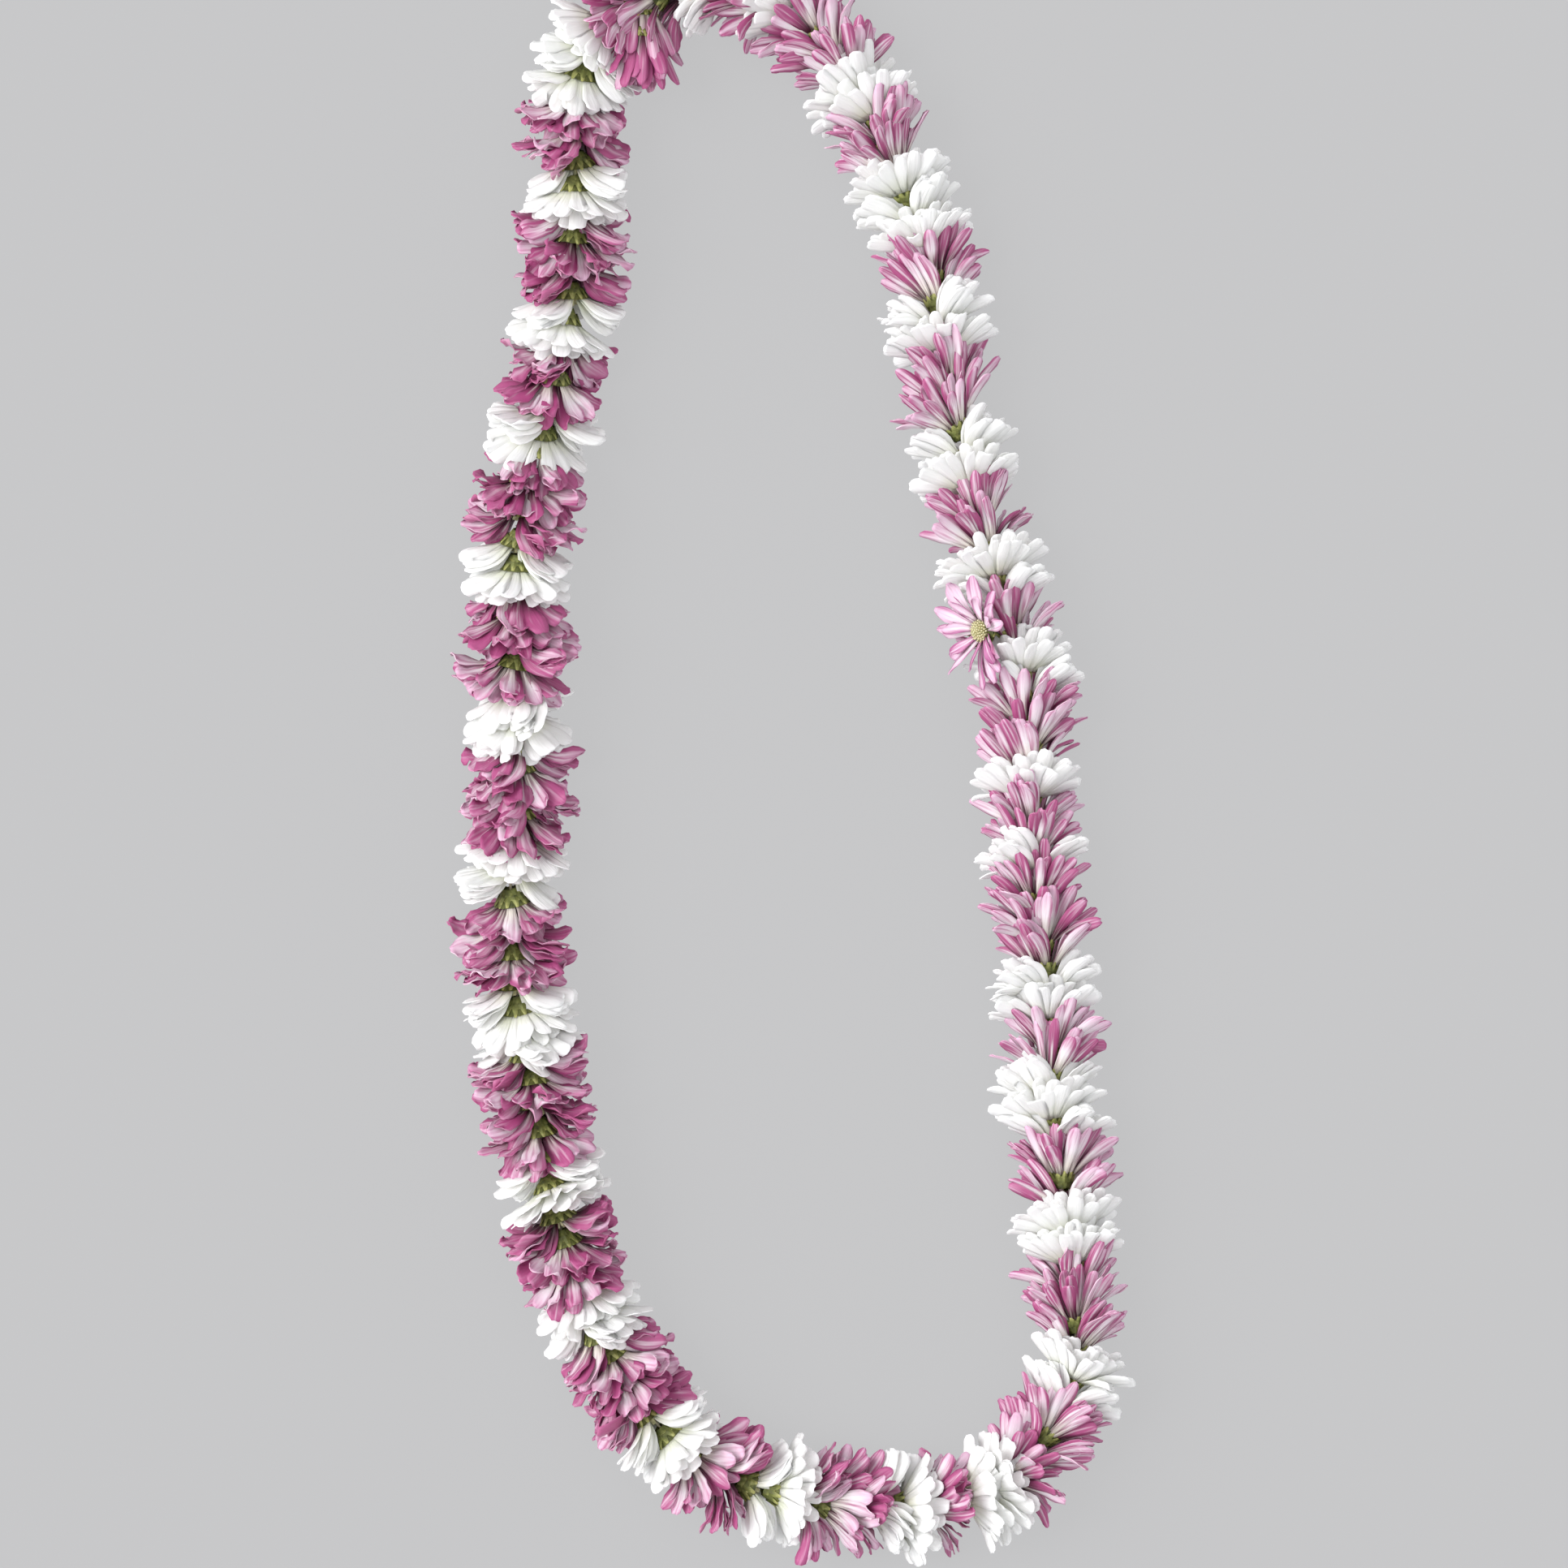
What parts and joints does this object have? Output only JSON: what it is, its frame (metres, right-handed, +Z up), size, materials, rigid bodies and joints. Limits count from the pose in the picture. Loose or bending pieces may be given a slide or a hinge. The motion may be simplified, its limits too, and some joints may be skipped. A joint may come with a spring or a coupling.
{
  "type": "fresh flower lei",
  "caption": "Fresh flower lei: purple and white daisy chrysanthemum heads threaded through their centres on a closed string, in alternating bunches, laid flat as a long loop.",
  "frame": {"origin": "on the table, under the middle of the lei's outline", "axes": "+Y along the loop's long way, towards its narrow end with the knot; +X across it; +Z up from the table"},
  "size_m": [0.2136, 0.5196, 0.0323],
  "materials": {
    "purple_petals": "satin, softly translucent living petal, magenta-purple with a paler back",
    "white_petals": "satin, softly translucent living petal, white with grey-green shade",
    "calyx": "matte fresh green bracts",
    "florets": "matte yellow-green disc florets",
    "string": "matte twisted cotton"
  },
  "bodies": {
    "root": {"string": "string", "purple_bunch_01": "purple_petals", "white_bunch_01": "white_petals", "purple_bunch_02": "purple_petals", "white_bunch_02": "white_petals", "purple_bunch_03": "purple_petals", "white_bunch_03": "white_petals", "purple_bunch_04": "purple_petals", "white_bunch_04": "white_petals", "purple_bunch_05": "purple_petals", "white_bunch_05": "white_petals", "purple_bunch_06": "purple_petals", "white_bunch_06": "white_petals", "purple_bunch_07": "purple_petals", "white_bunch_07": "white_petals", "purple_bunch_08": "purple_petals", "white_bunch_08": "white_petals", "purple_bunch_09": "purple_petals", "white_bunch_09": "white_petals", "purple_bunch_10": "purple_petals", "white_bunch_10": "white_petals", "purple_bunch_11": "purple_petals", "white_bunch_11": "white_petals", "purple_bunch_12": "purple_petals", "white_bunch_12": "white_petals", "purple_bunch_13": "purple_petals", "white_bunch_13": "white_petals", "purple_bunch_14": "purple_petals", "white_bunch_14": "white_petals", "purple_bunch_15": "purple_petals", "white_bunch_15": "white_petals", "purple_bunch_16": "purple_petals", "white_bunch_16": "white_petals", "purple_bunch_17": "purple_petals", "white_bunch_17": "white_petals", "purple_bunch_18": "purple_petals", "white_bunch_18": "white_petals", "purple_bunch_19": "purple_petals", "white_bunch_19": "white_petals", "purple_bunch_20": "purple_petals", "white_bunch_20": "white_petals", "purple_bunch_21": "purple_petals", "white_bunch_21": "white_petals", "purple_bunch_22": "purple_petals", "white_bunch_22": "white_petals", "purple_bunch_23": "purple_petals", "white_bunch_23": "white_petals", "purple_bunch_24": "purple_petals", "white_bunch_24": "white_petals", "purple_bunch_25": "purple_petals", "white_bunch_25": "white_petals", "purple_bunch_26": "purple_petals", "white_bunch_26": "white_petals", "purple_bunch_27": "purple_petals", "white_bunch_27": "white_petals", "purple_bunch_28": "purple_petals", "white_bunch_28": "white_petals"}
  },
  "joints": []
}
